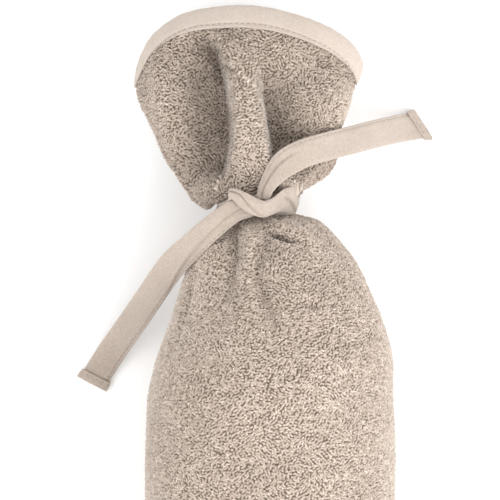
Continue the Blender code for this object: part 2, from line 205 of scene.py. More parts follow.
# Meshes ------------------------------------------------------------------------------------------
class Shape:
    """Grids of quads gathered into one mesh."""

    def __init__(self):
        self.points, self.quads, self.uvs, self.slots = [], [], [], []
        self.values = {}
        self.count = 0

    def add(self, grid, wrap_rows=False, wrap_columns=False, capped=False, slot=0, **values):
        """A grid of points; capped closes the two ends of a strip whose columns wrap."""
        rows, columns = grid.shape[:2]
        ids = np.arange(rows * columns).reshape(rows, columns)
        i = np.arange(rows if wrap_rows else rows - 1)
        j = np.arange(columns if wrap_columns else columns - 1)
        i, j = (part.ravel() for part in np.meshgrid(i, j, indexing="ij"))
        up, right = (i + 1) % rows, (j + 1) % columns
        quads = [np.column_stack([ids[i, j], ids[i, right], ids[up, right], ids[up, j]])]
        corner = np.stack([np.column_stack([j, j + 1, j + 1, j]) / columns,
                           np.column_stack([i, i, i + 1, i + 1]) / rows], axis=2)
        uvs = [corner]
        if capped:
            half = columns // 2
            k = np.arange(half - 1)
            for row, flip in ((0, True), (rows - 1, False)):
                face = np.column_stack([ids[row, k], ids[row, k + 1],
                                        ids[row, columns - 2 - k], ids[row, columns - 1 - k]])
                quads.append(face[:, ::-1] if flip else face)
                uvs.append(np.zeros((half - 1, 4, 2)))
        quads = np.concatenate(quads) + self.count
        self.points.append(grid.reshape(-1, 3))
        self.quads.append(quads)
        self.uvs.append(np.concatenate(uvs))
        self.slots.append(np.full(len(quads), slot))
        for name, value in values.items():
            self.values.setdefault(name, []).append(np.broadcast_to(value, (rows, columns)).ravel())
        self.count += rows * columns
        return self

    def make(self, name, *materials, bake_layer=False):
        points, quads = np.concatenate(self.points), np.concatenate(self.quads)
        mesh = bpy.data.meshes.new(name)
        mesh.vertices.add(len(points))
        mesh.vertices.foreach_set("co", points.astype(np.float32).ravel())
        mesh.loops.add(quads.size)
        mesh.loops.foreach_set("vertex_index", quads.astype(np.int32).ravel())
        mesh.polygons.add(len(quads))
        mesh.polygons.foreach_set("loop_start", np.arange(0, quads.size, 4, dtype=np.int32))
        mesh.polygons.foreach_set("material_index", np.concatenate(self.slots).astype(np.int32))
        if bake_layer:
            layer = mesh.uv_layers.new(name="OFBake")
            layer.uv.foreach_set("vector", np.concatenate(self.uvs).astype(np.float32).ravel())
        for key, parts in self.values.items():
            attribute = mesh.attributes.new(key, "FLOAT", "POINT")
            attribute.data.foreach_set("value", np.concatenate(parts).astype(np.float32))
        for material in materials:
            mesh.materials.append(material)
        mesh.update(calc_edges=True)
        mesh.validate()
        mesh.shade_smooth()
        made = bpy.data.objects.new(name, mesh)
        bpy.context.scene.collection.objects.link(made)
        return made


THREAD_SLOT = 1                       # a sewn piece has its thread as its second material
STITCH_RADIUS = 0.2 * MM
HEM_STITCH_RADIUS = 0.26 * MM


def add_stitches(shape, centres, directions, normals, length, radius=STITCH_RADIUS):
    """Small stitches, each a capsule that dips into the cloth at both ends."""
    sections, sides = 6, 6
    t = np.linspace(-1, 1, sections)
    a = 2 * pi * np.arange(sides) / sides
    for centre, direction, normal in zip(centres, directions, normals):
        side = np.cross(normal, direction)
        grow = np.sqrt(np.maximum(1 - t ** 4, 0.04))
        spine = centre + np.outer(t * length / 2, direction) - np.outer(t ** 2 * radius * 1.2, normal)
        ring = np.cos(a)[None, :, None] * side + np.sin(a)[None, :, None] * normal
        shape.add(spine[:, None] + ring * (radius * grow)[:, None, None], wrap_columns=True,
                  capped=True, slot=THREAD_SLOT)


# Materials ---------------------------------------------------------------------------------------
class Nodes:
    """A material's node tree, with short ways to add and join nodes."""

    def __init__(self, name, roughness, metallic=0.0, sheen=0.0):
        self.material = bpy.data.materials.new(name)
        self.material.use_nodes = True
        self.tree = self.material.node_tree
        self.shader = self.tree.nodes["Principled BSDF"]
        self.shader.inputs["Roughness"].default_value = roughness
        self.shader.inputs["Metallic"].default_value = metallic
        self.shader.inputs["Sheen Weight"].default_value = sheen
        self.shader.inputs["Sheen Roughness"].default_value = 0.6
        self.place = self.add("ShaderNodeTexCoord").outputs["Object"]

    def add(self, kind, **settings):
        node = self.tree.nodes.new(kind)
        for key, value in settings.items():
            setattr(node, key, value)
        return node

    def join(self, source, target):
        self.tree.links.new(source, target)

    def noise(self, scale, detail=3.0, roughness=0.5, stretch=None):
        node = self.add("ShaderNodeTexNoise")
        node.inputs["Scale"].default_value = scale
        node.inputs["Detail"].default_value = detail
        node.inputs["Roughness"].default_value = roughness
        self.join(self.stretched(stretch), node.inputs["Vector"])
        return node.outputs["Fac"]

    def stretched(self, stretch):
        if stretch is None:
            return self.place
        node = self.add("ShaderNodeMapping")
        node.inputs["Scale"].default_value = stretch
        self.join(self.place, node.inputs["Vector"])
        return node.outputs["Vector"]

    def wave(self, scale, direction, distortion=1.0):
        node = self.add("ShaderNodeTexWave", wave_type="BANDS", bands_direction=direction)
        node.inputs["Scale"].default_value = scale
        node.inputs["Distortion"].default_value = distortion
        node.inputs["Detail"].default_value = 1.0
        self.join(self.place, node.inputs["Vector"])
        return node.outputs["Fac"]

    def attribute(self, name):
        return self.add("ShaderNodeAttribute", attribute_name=name).outputs["Fac"]

    def ramp(self, source, *stops):
        """A colour for each stop, given as (place, (r, g, b))."""
        node = self.add("ShaderNodeValToRGB")
        elements = node.color_ramp.elements
        while len(elements) < len(stops):
            elements.new(0.5)
        for element, (place, colour) in zip(elements, stops):
            element.position = place
            element.color = (*colour, 1.0)
        self.join(source, node.inputs["Fac"])
        return node.outputs["Color"]

    def mix(self, blend, amount, first, second):
        node = self.add("ShaderNodeMix", data_type="RGBA", blend_type=blend)
        node.inputs["Factor"].default_value = amount
        self.join(first, node.inputs["A"])
        self.join(second, node.inputs["B"])
        return node.outputs["Result"]

    def sum(self, *weighted):
        """A weighted sum of values."""
        total = None
        for source, weight in weighted:
            node = self.add("ShaderNodeMath", operation="MULTIPLY_ADD")
            self.join(source, node.inputs[0])
            node.inputs[1].default_value = weight
            node.inputs[2].default_value = 0.0
            if total is not None:
                self.join(total, node.inputs[2])
            total = node.outputs[0]
        return total

    def finish(self, colour, bump=None, strength=0.5, distance=0.0004, roughness=None):
        self.join(colour, self.shader.inputs["Base Color"])
        if bump is not None:
            node = self.add("ShaderNodeBump")
            node.inputs["Strength"].default_value = strength
            node.inputs["Distance"].default_value = distance
            self.join(bump, node.inputs["Height"])
            self.join(node.outputs["Normal"], self.shader.inputs["Normal"])
        if roughness is not None:
            self.join(roughness, self.shader.inputs["Roughness"])
        return self.material


def pile_material():
    """Looped terry, each loop a little different in tone. Its colour carries painted shade between the loops
    and a painted highlight on the loops' tops.
    """
    m = Nodes("terry_pile", roughness=0.95, sheen=0.25)
    # painted shade and highlight: follows the pile's height, from dark gaps between the loops to bright loop
    # tops
    crown = m.ramp(m.attribute("pile"), (0.0, (0.142, 0.106, 0.08)), (0.24, (0.37, 0.297, 0.239)),
                   (0.6, (0.522, 0.44, 0.375)), (0.84, (0.625, 0.538, 0.467)), (1.0, (0.80, 0.71, 0.63)))
    # painted shade in the creases and over the mouth: darker the deeper the cloth sinks
    hollow = m.ramp(m.attribute("hollow"), (0.0, (1.0, 1.0, 1.0)), (0.5, (0.76, 0.75, 0.74)),
                    (1.0, (0.47, 0.45, 0.43)))
    crown = m.mix("MULTIPLY", 1.0, crown, hollow)
    tuft = m.ramp(m.attribute("tuft"), (0.0, (0.8, 0.78, 0.75)), (0.5, (0.95, 0.94, 0.93)),
                  (1.0, (1.0, 1.0, 1.0)))
    colour = m.mix("MULTIPLY", 1.0, crown, tuft)
    yarn = m.ramp(m.noise(1900, 3), (0.35, (0.74, 0.71, 0.68)), (0.62, (1.0, 1.0, 1.0)))
    colour = m.mix("MULTIPLY", 0.9, colour, yarn)
    drift = m.ramp(m.noise(28, 3), (0.35, (0.93, 0.92, 0.91)), (0.65, (1.0, 1.0, 1.0)))
    colour = m.mix("MULTIPLY", 1.0, colour, drift)
    bump = m.sum((m.noise(1900, 3), 0.7), (m.noise(4200, 2), 0.3))
    return m.finish(colour, bump, strength=0.6, distance=0.0005)


def ground_material():
    """The woven ground that the loops are held in."""
    m = Nodes("terry_ground", roughness=0.95, sheen=0.1)
    colour = m.ramp(m.noise(900, 4), (0.3, (0.25, 0.195, 0.15)), (0.7, (0.39, 0.32, 0.257)))
    bump = m.sum((m.wave(900, "X"), 0.5), (m.wave(900, "Y"), 0.5), (m.noise(2500), 0.4))
    return m.finish(colour, bump, strength=0.5, distance=0.0004)


def cotton_material(name, base, dark):
    """Fine plain-weave cotton, slightly slubbed."""
    m = Nodes(name, roughness=0.88, sheen=0.15)
    colour = m.ramp(m.noise(1300, 3, 0.6), (0.36, dark), (0.62, base))
    slub = m.ramp(m.noise(700, 3, stretch=(1.0, 5.0, 1.0)),
                  (0.35, (0.93, 0.925, 0.92)), (0.65, (1.0, 1.0, 1.0)))
    colour = m.mix("MULTIPLY", 1.0, colour, slub)
    drift = m.ramp(m.noise(60, 3), (0.35, (0.95, 0.945, 0.94)), (0.65, (1.0, 1.0, 1.0)))
    colour = m.mix("MULTIPLY", 1.0, colour, drift)
    bump = m.sum((m.wave(1300, "X", 2.0), 0.35), (m.wave(1300, "Y", 2.0), 0.35), (m.noise(1600, 4), 0.8),
                 (m.noise(180, 3), 2.5))
    return m.finish(colour, bump, strength=0.7, distance=0.0004)


def thread_material():
    m = Nodes("sewing_thread", roughness=0.7, sheen=0.1)
    colour = m.ramp(m.noise(1500, 2), (0.3, (0.25, 0.205, 0.17)), (0.7, (0.33, 0.275, 0.235)))
    return m.finish(colour, m.wave(2500, "DIAGONAL", 0.5), strength=0.4, distance=0.0002)


def steel_material():
    """Drawn steel, brushed round the bottle, with faint cloudy marks from handling."""
    m = Nodes("brushed_steel", roughness=0.3, metallic=1.0)
    brushed = m.noise(700, 4, 0.6, stretch=(0.06, 1.0, 0.06))
    colour = m.ramp(brushed, (0.3, (0.52, 0.52, 0.52)), (0.7, (0.66, 0.66, 0.655)))
    cloud = m.ramp(m.noise(45, 3), (0.4, (0.94, 0.94, 0.95)), (0.65, (1.0, 1.0, 1.0)))
    roughness = m.sum((m.noise(60, 3), 0.18), (brushed, 0.3))
    return m.finish(m.mix("MULTIPLY", 1.0, colour, cloud), brushed, strength=0.15, distance=0.0001,
                    roughness=roughness)


def moulded_material(name, colour, light, grain):
    m = Nodes(name, roughness=0.5)
    tone = m.ramp(m.noise(300, 3), (0.35, colour), (0.7, light))
    return m.finish(tone, m.noise(grain, 3), strength=0.25, distance=0.0002,
                    roughness=m.sum((m.noise(150, 2), 0.35), (m.noise(900, 2), 0.35)))


# Pouch -------------------------------------------------------------------------------------------
def pouch_at(t, angles):
    """The pouch's outline as a grid. t runs 0-1 over the flat end, 1-2 round its corner, 2-3 along
    the body and 3-4 along the mouth; angles run from the right side over the front."""
    turn = np.clip(t - 1, 0, 1) * pi / 2
    y = END_Y + END_ROUNDING * (1 - np.cos(turn)) + np.clip(t - 2, 0, 1) * (MOUTH_START - STRAIGHT_START)
    left, right, middle_z = table_at(BODY_TABLE, y).T
    half = (right - left) / 2 - END_ROUNDING * (1 - np.sin(turn))
    across, height = np.cos(angles), np.sin(angles)
    grid = np.empty((len(t), len(angles), 3))
    grid[..., 0] = ((left + right) / 2)[:, None] + half[:, None] * across
    grid[..., 1] = y[:, None]
    grid[..., 2] = middle_z[:, None] + (np.clip(t, 0, 1) * half)[:, None] * height
    flare = t > 3
    if flare.any():
        row = table_at(MOUTH_TABLE, t[flare] - 3)[:, :, None]
        left_y, right_y, middle_y, left, right, middle_z, rise, drop = row.transpose(1, 0, 2)
        side_y = (left_y + right_y) / 2 + (right_y - left_y) / 2 * across
        soft = MOUTH_SOFTNESS ** (MOUTH_ROUNDNESS / 2)
        bulge = ((height ** 2 + MOUTH_SOFTNESS) ** (MOUTH_ROUNDNESS / 2) - soft) / (1 - soft)
        share = (t[flare] - 3)[:, None]
        grid[flare, :, 0] = (left + right) / 2 + (right - left) / 2 * across
        lean = share * across * (MOUTH_TILT + MOUTH_SKEW * np.abs(height))
        grid[flare, :, 1] = side_y + (middle_y - side_y) * bulge - lean
        grid[flare, :, 2] = middle_z + np.where(height > 0, rise, drop) * height
    slant = smoothstep(66 * MM, 78 * MM, grid[..., 1])
    slant *= 1 - smoothstep(88 * MM, 104 * MM, grid[..., 1])
    sideways = np.clip(grid[..., 0] - NECK_X, -NECK_SLANT_REACH, NECK_SLANT_REACH)
    grid[..., 1] += NECK_SLANT * slant * sideways
    return grid


def even_stops(start, stop, step):
    """Values of t between two places whose rows lie a step apart on the pouch."""
    fine = np.linspace(start, stop, 600)
    lines = pouch_at(fine, np.radians([20, 50, 90, 130, 160]))
    run = np.linalg.norm(np.diff(lines, axis=0), axis=2).max(axis=1)
    along = np.concatenate([[0.0], np.cumsum(run)])
    return np.interp(np.linspace(0, along[-1], int(round(along[-1] / step)) + 1), along, fine)


def body_t(y):
    return 2 + (y - STRAIGHT_START) / (MOUTH_START - STRAIGHT_START)


def outward(grid):
    """Unit normals of a grid whose rows run to the mouth and whose columns run over the front."""
    normal = unit(np.cross(np.gradient(grid, axis=0), np.gradient(grid, axis=1)))
    flat = np.linalg.norm(normal, axis=2) < 0.5
    normal[flat] = (0.0, -1.0, 0.0)
    return normal


def crease_depth(x, y):
    """How deep the front's creases are, seen from above."""
    total = np.zeros(x.shape)
    for right, left, points in FRONT_CREASES:
        points = np.array(points) * MM
        reach = 3 * max(right, left) * MM
        low, high = points[:, :2].min(0) - reach, points[:, :2].max(0) + reach
        near = (x > low[0]) & (x < high[0]) & (y > low[1]) & (y < high[1])
        px, py = x[near], y[near]
        found = np.zeros(px.shape)
        for a, b in zip(points[:-1], points[1:]):
            run = b[:2] - a[:2]
            s = ((px - a[0]) * run[0] + (py - a[1]) * run[1]) / (run @ run)
            s = np.clip(s, 0, 1)
            gap = np.hypot(px - a[0] - s * run[0], py - a[1] - s * run[1])
            on_right = run[0] * (py - a[1]) - run[1] * (px - a[0]) > 0
            width = np.where(on_right, right, left) * MM
            depth = (a[2] + (b[2] - a[2]) * s) * np.exp(-(gap / width) ** 2)
            found = np.where(np.abs(depth) > np.abs(found), depth, found)
        total[near] += found
    return total


def keep_above_floor(grid, gap):
    """Flatten a grid's underside at a small height over the floor."""
    grid[..., 2] = np.maximum(grid[..., 2], gap)
    return grid


def gathers(grid, angles):
    """Small folds that run out from the tie, both ways: sets of 13, 21 and 8 round the pouch."""
    y = grid[..., 1]
    below = smoothstep(38 * MM, 74 * MM, y) * (1 - smoothstep(80 * MM, 84 * MM, y))
    above = smoothstep(89 * MM, 99 * MM, y) * (1 - smoothstep(100 * MM, 128 * MM, y))
    fold = np.sin(13 * angles + 0.6) + 0.6 * np.sin(21 * angles + 2.0) + 0.4 * np.sin(8 * angles)
    return (below * 0.45 + above * 0.9) * MM * (1.4 + fold)


def mouth_waves(grid):
    """How deep the gentle waves are that the mouth's cloth and its binding share."""
    return 0.8 * MM * ripples(grid, 26 * MM, 8)


DEEPEST = 10 * MM                     # a crease this deep gets the darkest painted shade


def pouch_cloth(t, angles):
    """The surface at the pile's roots, its outward normals, and its painted shade from 0 to 1, deeper in the
    creases and over the mouth.
    """
    grid = pouch_at(t, angles)
    normal = outward(grid)
    front = smoothstep(0.0, 0.35, np.sin(angles))
    back = smoothstep(0.0, 0.35, -np.sin(angles))
    depth = crease_depth(grid[..., 0], grid[..., 1]) * front
    depth *= 1 - smoothstep(3.78, 3.93, t)[:, None]              # the binding holds the rim taut
    depth += gathers(grid, angles) * np.where(np.sin(angles) > 0, 0.55 * front, 1.2 * back)
    y = grid[..., 1]
    slack = smoothstep(-150 * MM, -60 * MM, y) * (1 - smoothstep(60 * MM, 80 * MM, y))
    depth += 0.5 * MM * ripples(grid, 42 * MM, 5) * slack
    depth += mouth_waves(grid) * smoothstep(95 * MM, 115 * MM, y)
    # where the mouth turns over above the tie its cloth is tight, so creases are shallow there
    turned = smoothstep(2.95, 3.0, t) * (1 - smoothstep(3.08, 3.16, t))
    sunk = (depth + PILE_ROOM) * (1 - 0.85 * turned)[:, None]
    grid = keep_above_floor(grid - normal * sunk[..., None], 0.5 * MM)
    painted_mouth_shade = 0.3 * smoothstep(2.9, 3.0, t)[:, None]                # painted shade: the whole mouth is drawn darker
    return grid, outward(grid), np.clip(sunk / DEEPEST + painted_mouth_shade, 0, 1)


def pile_length(grid):
    """How much of its length the pile keeps: it is pressed flat by the tie and by the floor."""
    y, z = grid[..., 1], grid[..., 2]
    tie = np.maximum(1 - smoothstep(78 * MM, 81.5 * MM, y), smoothstep(84 * MM, 87 * MM, y))
    floor = smoothstep(0.4 * MM, 2.5 * MM, z)
    return (0.3 + 0.7 * tie) * (0.25 + 0.75 * floor)


LOOP_SPACING = 0.9 * MM               # the least distance between two loops
LOOP_REACH = 1.15 * MM                # the furthest that a loop's yarn lies from its root


def scatter_loops(points, rng):
    """Choose the points that loops grow from, in random order and none too close to another.
    Returns them, and every pair of a loop and a point within its reach."""
    tree = KDTree(len(points))
    for index, point in enumerate(points.tolist()):
        tree.insert(point, index)
    tree.balance()
    free = bytearray(b"\1") * len(points)
    roots, owner, member = [], [], []
    for index in rng.permutation(len(points)).tolist():
        if not free[index]:
            continue
        for _, other, gap in tree.find_range(points[index], LOOP_REACH):
            if gap < LOOP_SPACING:
                free[other] = 0
            owner.append(len(roots))
            member.append(other)
        roots.append(index)
    return roots, np.array(owner), np.array(member)


def grow_loops(points, normals):
    """Grow terry loops over points of the cloth. Returns each point's height in the pile from
    0 to 1, its sideways lean, and the tone of the loop it is on."""
    rng = np.random.default_rng(SEED)
    roots, owner, member = scatter_loops(points, rng)
    count = len(roots)
    centre, up = points[roots], normals[roots]
    # the loops lie aslant, turned a little outwards on each side, and wander in patches
    lie = np.radians(20 + 22 * np.clip(centre[:, 0] / (40 * MM), -1, 1))
    lie = lie + 0.75 * ripples(centre, 17 * MM, 3) + rng.normal(0, 0.3, count)
    ahead = np.column_stack([np.cos(lie), np.sin(lie), np.zeros(count)])
    ahead = unit(ahead - up * np.sum(ahead * up, axis=1, keepdims=True))
    side = np.cross(up, ahead)
    # each loop is a short arched yarn, bent sideways and higher at one end
    half_run = rng.uniform(0.1, 0.45, count) * MM
    radius = rng.uniform(0.41, 0.53, count) * MM
    tall = rng.uniform(0.6, 1.0, count)
    bend = rng.uniform(-0.45, 0.45, count) / MM
    tip = rng.uniform(-0.32, 0.32, count)
    tone = rng.uniform(0, 1, count)
    offset = points[member] - centre[owner]
    x = np.sum(offset * ahead[owner], axis=1)
    y = np.sum(offset * side[owner], axis=1) + bend[owner] * x * x
    past = np.maximum(np.abs(x) - half_run[owner], 0)
    gap = np.hypot(past, y) / radius[owner]
    height = np.maximum(1 - gap ** 2, 0) ** 0.6 * tall[owner] * (1 + tip[owner] * x / half_run[owner] * 0.6)
    same_side = np.sum(normals[member] * up[owner], axis=1) > 0.2
    height = np.where(same_side, np.clip(height, 0, 1), 0)
    # where loops cross, the highest is the one that shows
    order = np.argsort(height, kind="stable")
    pile = np.zeros(len(points))
    tuft = np.zeros(len(points))
    lean = np.zeros((len(points), 3))
    pile[member[order]] = height[order]
    tuft[member[order]] = tone[owner[order]]
    lean[member[order]] = side[owner[order]] * rng.choice((-1.0, 1.0), count)[owner[order], None]
    return pile, lean, tuft


PILE_HEIGHT = 1.1 * MM
PILE_LEAN = 0.3                       # a loop leans over sideways by this share of its height
SEAM_COLUMNS = 2.5                    # the pile dies down over these columns at each seam


def terry_pieces(material):
    """Every pile surface of the pouch, grown as one so that the loops run on between pieces."""
    waist = body_t(84.8 * MM)         # under the tie, where body and mouth meet
    rim = 3.955                       # under the binding's lower edge
    half_girth = 152 * MM
    front = np.linspace(0, pi, int(half_girth / FINE_STEP) + 1)
    mouth_front = np.linspace(0, pi, int(126 * MM / FINE_STEP) + 1)
    back = np.linspace(pi, 2 * pi, int(half_girth / BROAD_STEP) + 1)
    mouth_back = np.linspace(pi, 2 * pi, int(120 * MM / BROAD_STEP) + 1)
    plans = {
        "pouch_front_pile": (np.concatenate([even_stops(0, 1, BROAD_STEP)[:-1],
                                             even_stops(1, waist, FINE_STEP)]), front),
        "mouth_front_pile": (even_stops(waist, rim, FINE_STEP * 0.95), mouth_front),
        "pouch_back_pile": (even_stops(0, waist, BROAD_STEP), back),
        "mouth_back_pile": (even_stops(waist, rim, BROAD_STEP), mouth_back),
    }
    roots = {name: pouch_cloth(*plan) for name, plan in plans.items()}
    lining_stops = even_stops(body_t(88 * MM), rim, BROAD_STEP * 1.1)
    lining_angles = np.linspace(0, 2 * pi, int(250 * MM / BROAD_STEP))
    grid, normal, hollow = pouch_cloth(lining_stops, lining_angles)
    roots["mouth_lining_pile"] = (grid - normal * WALL, -normal, np.zeros_like(hollow))
    points = np.concatenate([grid.reshape(-1, 3) for grid, _, _ in roots.values()])
    normals = np.concatenate([normal.reshape(-1, 3) for _, normal, _ in roots.values()])
    pile, lean, tuft = grow_loops(points, normals)
    made, start = {}, 0
    for name, (grid, normal, hollow) in roots.items():
        size = grid.shape[0] * grid.shape[1]
        part = slice(start, start + size)
        start += size
        height = pile[part].reshape(grid.shape[:2])
        side = lean[part].reshape(grid.shape)
        length = pile_length(grid)
        if name != "mouth_lining_pile":
            edge = np.minimum(np.arange(grid.shape[1]), np.arange(grid.shape[1])[::-1]) / SEAM_COLUMNS
            length = length * np.clip(edge, 0, 1)
        rise = (height * length * PILE_HEIGHT)[..., None]
        shape = keep_above_floor(grid + normal * rise + side * rise * PILE_LEAN, 0.1 * MM)
        tone = tuft[part].reshape(grid.shape[:2])
        piece = Shape().add(shape, pile=height, tuft=tone, hollow=hollow)
        made[name] = piece.make(name, material, bake_layer=True)
    return made


def ground_cloth(name, first, last, material):
    """One woven panel under the pile, from the closed end to the rim, with its own thickness."""
    rows = even_stops(0, 3.99, 2.2 * MM)
    angles = np.linspace(first, last, 76)
    grid, normal, _ = pouch_cloth(rows, angles)
    outer, inner = grid - normal * 0.35 * MM, grid - normal * 1.25 * MM
    ring = keep_above_floor(np.concatenate([outer, inner[:, ::-1]], axis=1), 0.3 * MM)
    return Shape().add(ring, wrap_columns=True, capped=True).make(name, material)


# Binding -----------------------------------------------------------------------------------------
BINDING_WIDTH = 8.9 * MM
BINDING_SEAM = 1.9 * MM               # from its lower edge to its row of stitches


def rim_binding(cotton, thread):
    """The folded cotton strip round the rim: an outer leg, a soft fold and an inner leg."""
    columns, count, width = 420, 15, BINDING_WIDTH
    angles = 2 * pi * np.arange(columns) / columns
    grid = pouch_at(np.linspace(3.885, 4.0, 24), angles)
    normal = outward(grid)
    grid = grid - normal * (mouth_waves(grid) + PILE_ROOM)[..., None]
    run = np.cumsum(np.linalg.norm(np.diff(grid[::-1], axis=0), axis=2), axis=0)
    run = np.vstack([np.zeros((1, columns)), run])
    share = np.linspace(1, 0, count)
    place = np.empty((count, columns, 3))
    push = np.empty((count, columns, 3))
    for j in range(columns):
        for k in range(3):
            place[:, j, k] = np.interp(share * width, run[:, j], grid[::-1, j, k])
            push[:, j, k] = np.interp(share * width, run[:, j], normal[::-1, j, k])
    push = unit(push)
    onward = unit(place[-1] - place[-3])
    inset = share * width
    # the sewn line dips the strip just above its turned-in lower edge
    dip = 0.55 * MM * np.exp(-((inset - width + BINDING_SEAM) / (0.55 * MM)) ** 2)
    roll = 0.45 * MM * smoothstep(width - 1.3 * MM, width - 0.3 * MM, inset)
    puff = 0.55 * MM * np.sin(pi * np.clip(1 - inset / width, 0, 1)) ** 0.7
    wobble = 0.08 * MM * np.sin(angles * 43 + 2 * np.sin(angles * 7))
    lift = (0.95 * MM + puff - dip + roll * 0.4)[:, None] + wobble * smoothstep(0.9, 0.3, share)[:, None]
    outer = place + push * lift[..., None]
    inner = place - push * (WALL + lift)[..., None]
    turn = np.linspace(0, pi, 9)[1:-1]
    rim_out, rim_in = outer[-1], inner[-1]
    middle, radius = (rim_out + rim_in) / 2, np.linalg.norm(rim_out - rim_in, axis=1) / 2
    fold = np.array([middle + push[-1] * (radius * cos(a))[:, None]
                     + onward * (radius * sin(a) * 0.62)[:, None] for a in turn])
    sheet = np.concatenate([outer, fold, inner[::-1]])
    ply = 0.55 * MM
    under = np.concatenate([outer - push * ply, fold - (fold - middle) * 0.25,
                            inner[::-1] + push[::-1] * ply])
    ring = np.concatenate([sheet, under[::-1]])
    shape = Shape().add(ring, wrap_rows=True, wrap_columns=True)
    row = int(np.argmin(np.abs(inset - width + BINDING_SEAM)))
    line = np.vstack([outer[row], outer[row][:1]])
    along = distances(line)
    stops = np.arange(0, along[-1], 2.5 * MM)
    centres = points_at(stops, along, line)
    ups = unit(points_at(stops, along[:-1], push[row]))
    ahead = unit(np.gradient(centres, axis=0))
    add_stitches(shape, centres + ups * 0.1 * MM, ahead, ups, 1.9 * MM)
    return shape.make("rim_binding", cotton, thread)


# Tape --------------------------------------------------------------------------------------------
def strap(shape, centres, across, width, thickness, rise, columns=41, skew=0.0):
    """A flat band along centres. across points to its v = +1 edge; rise(s, v) lifts its surface,
    where s is the distance along it in metres and v runs from -1 to 1 over its width. skew moves
    the v = +1 edge on along the band, and the other edge back."""
    tangent = unit(np.gradient(centres, axis=0))
    across = unit(across - tangent * np.sum(across * tangent, axis=1, keepdims=True))
    up = np.cross(across, tangent)
    along = distances(centres)
    v = np.sin(np.linspace(-1, 1, columns) * pi / 2)
    edge = (1 - np.abs(v) ** 5) ** 0.5
    half = np.broadcast_to(width, len(centres))[:, None] / 2
    body = np.broadcast_to(thickness, len(centres))[:, None] / 2 * np.maximum(edge, 0.12)
    lift = rise(along[:, None], v[None, :])
    spine = centres[:, None] + across[:, None] * (half * v)[..., None] + up[:, None] * lift[..., None]
    ahead = np.broadcast_to(skew, len(centres))[:, None] * v
    spine = spine + (tangent * (1.0, 1.0, 0.0))[:, None] * ahead[..., None]
    top = spine + up[:, None] * body[..., None]
    bottom = spine - up[:, None] * body[..., None]
    shape.add(np.concatenate([top, bottom[:, ::-1]], axis=1), wrap_columns=True, capped=True)
    return {"top": top, "up": up, "along": along, "v": v, "tangent": tangent}


def seam_on(shape, band, v, start, stop):
    """A row of stitches along a band at one place across it."""
    stops, along = np.arange(start, stop, 2.4 * MM), band["along"]
    line = np.concatenate([points_at([v], band["v"], row) for row in band["top"]])
    ahead = unit(points_at(stops, along, band["tangent"]))
    ups = unit(points_at(stops, along, band["up"]))
    add_stitches(shape, points_at(stops, along, line), ahead, ups, 1.75 * MM)


def seam_across(shape, band, place):
    """A row of stitches across a band, such as those that hold its hem."""
    row = int(np.argmin(np.abs(band["along"] - place)))
    vs = np.arange(-0.85, 0.85, 0.34)
    centres = points_at(vs, band["v"], band["top"][row])
    ups = np.repeat(band["up"][row][None], len(vs), axis=0)
    add_stitches(shape, centres, unit(np.gradient(centres, axis=0)), ups, 1.5 * MM, HEM_STITCH_RADIUS)


def level_across(route):
    """Unit vectors square to a route that stay level."""
    along = np.gradient(route, axis=0)
    return unit(np.column_stack([along[:, 1], -along[:, 0], np.zeros(len(route))]))


HEM = 4.4 * MM                        # length of the tape's folded end
HEM_SEAM = 0.3                        # place of its stitches, as a share of that length


def tape_rise(length, crease, seam_v):
    """Surface relief of a tail: its lengthwise crease, its sewn line and soft waviness. crease is
    its place across the tape at the knot, how far across it wanders and over what length, how far
    from the knot it ends, and its height."""
    start, wander, over, fade, step = crease

    def rise(s, v):
        fold = start + wander * smoothstep(0, over, s)
        fading = 1 - smoothstep(fade * 0.55, fade, s)
        height = step * fading * smoothstep(-0.06, 0.06, v - fold)
        height = height - 0.5 * MM * fading * np.exp(-((v - fold + 0.05) / 0.07) ** 2)
        height = height - 0.28 * MM * np.exp(-((v - seam_v) / 0.07) ** 2)
        wave = np.sin(s / (9 * MM) + 1.4 * v) * 0.25 + np.sin(s / (4.1 * MM) - 2.2 * v) * 0.12
        flat_end = 1 - smoothstep(length - 14 * MM, length - 4 * MM, s)
        return height + wave * MM * smoothstep(0, 12 * MM, s) * flat_end
    return rise


def hem_relief(s, v):
    """The folded end is drawn down along its stitches and puckers a little between them."""
    drawn = 0.3 * MM * np.exp(-((s - HEM * HEM_SEAM) / (0.45 * MM)) ** 2)
    return 0.1 * MM * np.sin(v * 15) + 0.1 * MM * np.sin(v * 4 + 1) - drawn


def tape_tail(name, points, cotton, thread, crease, seam_v, root_width, spread, slant):
    """One tail of the tie, with the row of stitches that closes the tape, at seam_v across it, and
    a hemmed end. The tape is root_width wide at the knot and full width from spread onwards; slant
    is how far each edge of its end runs ahead or behind."""
    route = smooth_route(points, 0.7 * MM)
    length = np.linalg.norm(np.diff(route, axis=0), axis=1).sum()
    along = np.linspace(0, length, len(route))
    flare = smoothstep(length - HEM - 1.5 * MM, length, along) * 1.0 * MM
    width = root_width + (TAPE_WIDTH - root_width) * smoothstep(0, spread, along) + flare
    lifted = route + np.array((0, 0, 0.15 * MM))
    skew = slant * smoothstep(length - 16 * MM, length - HEM, along)
    across = level_across(route)
    shape = Shape()
    band = strap(shape, lifted, across, width, TAPE_THICKNESS, tape_rise(length, crease, seam_v), skew=skew)
    last = along >= length - HEM
    on_top = lifted[last] + np.array((0, 0, 1.05 * MM))
    hem = strap(shape, on_top, across[last], width[last] + 1.5 * MM, 1.0 * MM, hem_relief, skew=slant)
    seam_on(shape, band, seam_v, 14 * MM, length - HEM)
    seam_across(shape, hem, HEM * HEM_SEAM)
    return shape.make(name, cotton, thread), route, length


